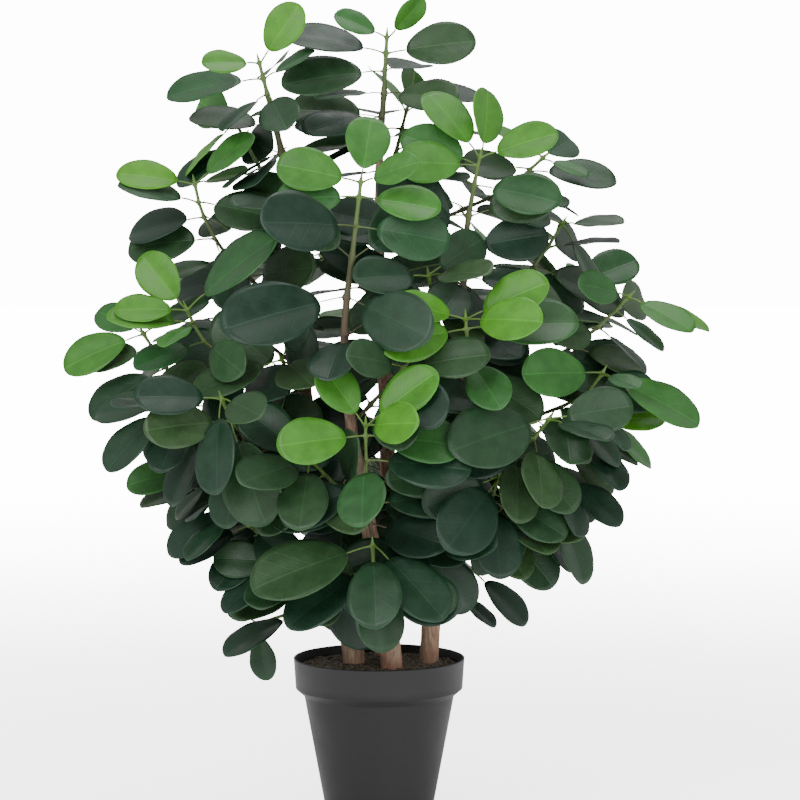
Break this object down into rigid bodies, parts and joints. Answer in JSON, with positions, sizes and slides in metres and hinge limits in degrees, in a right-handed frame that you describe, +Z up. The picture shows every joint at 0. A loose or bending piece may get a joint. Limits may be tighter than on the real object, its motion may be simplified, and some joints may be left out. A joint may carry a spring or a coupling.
{
  "type": "potted rubber plant",
  "caption": "Bushy rubber plant with broad glossy leaves on upright woody stems, rooted in dark soil in a tapered round nursery pot with a deep rim.",
  "frame": {"origin": "centre of the pot's flat underside, on the ground", "axes": "+Z up the plant, -Y towards the front, +X to the right seen from the front"},
  "size_m": [0.6371, 0.4886, 0.8167],
  "materials": {
    "pot_plastic": "moulded black-grey plastic, satin",
    "potting_soil": "moist crumbly potting mix",
    "bark": "grey-brown bark with pinkish patches",
    "leaf": "glossy leaf, dark green with yellow-green young leaves"
  },
  "bodies": {
    "root": {"nursery_pot": "pot_plastic", "potting_soil": "potting_soil", "stem_left": "bark", "stem_back": "bark", "stem_front": "bark", "stem_right": "bark", "shoot_front_low": "leaf", "shoot_bright_right": "leaf", "shoot_crown_left": "leaf", "shoot_crown_back": "leaf", "shoot_spine_front": "leaf", "shoot_spine_right": "leaf", "shoot_brow_left": "leaf", "shoot_shoulder_left": "leaf", "shoot_flank_left": "leaf", "shoot_far_left": "leaf", "shoot_cheek_left": "leaf", "shoot_breast_left": "leaf", "shoot_hip_left": "leaf", "shoot_hem_left": "leaf", "shoot_apron_left": "leaf", "shoot_low_left": "leaf", "shoot_front_skirt": "leaf", "shoot_front_bib": "leaf", "shoot_front_collar": "leaf", "shoot_brow_right": "leaf", "shoot_temple_right": "leaf", "shoot_far_right": "leaf", "shoot_cheek_right": "leaf", "shoot_flank_right": "leaf", "shoot_breast_right": "leaf", "shoot_hip_right": "leaf", "shoot_waist_right": "leaf", "shoot_hem_right": "leaf", "shoot_low_right": "leaf", "shoot_heart_left": "leaf", "shoot_heart_high": "leaf", "shoot_heart_right": "leaf", "shoot_heart_low": "leaf", "shoot_back_crown": "leaf", "shoot_back_left_high": "leaf", "shoot_back_right_high": "leaf", "shoot_back_spine": "leaf", "shoot_back_left_wide": "leaf", "shoot_back_right_wide": "leaf", "shoot_back_left_flank": "leaf", "shoot_back_right_flank": "leaf", "shoot_back_middle": "leaf", "shoot_back_left_low": "leaf", "shoot_back_right_low": "leaf", "shoot_back_skirt": "leaf", "shoot_back_low": "leaf"}
  },
  "joints": []
}
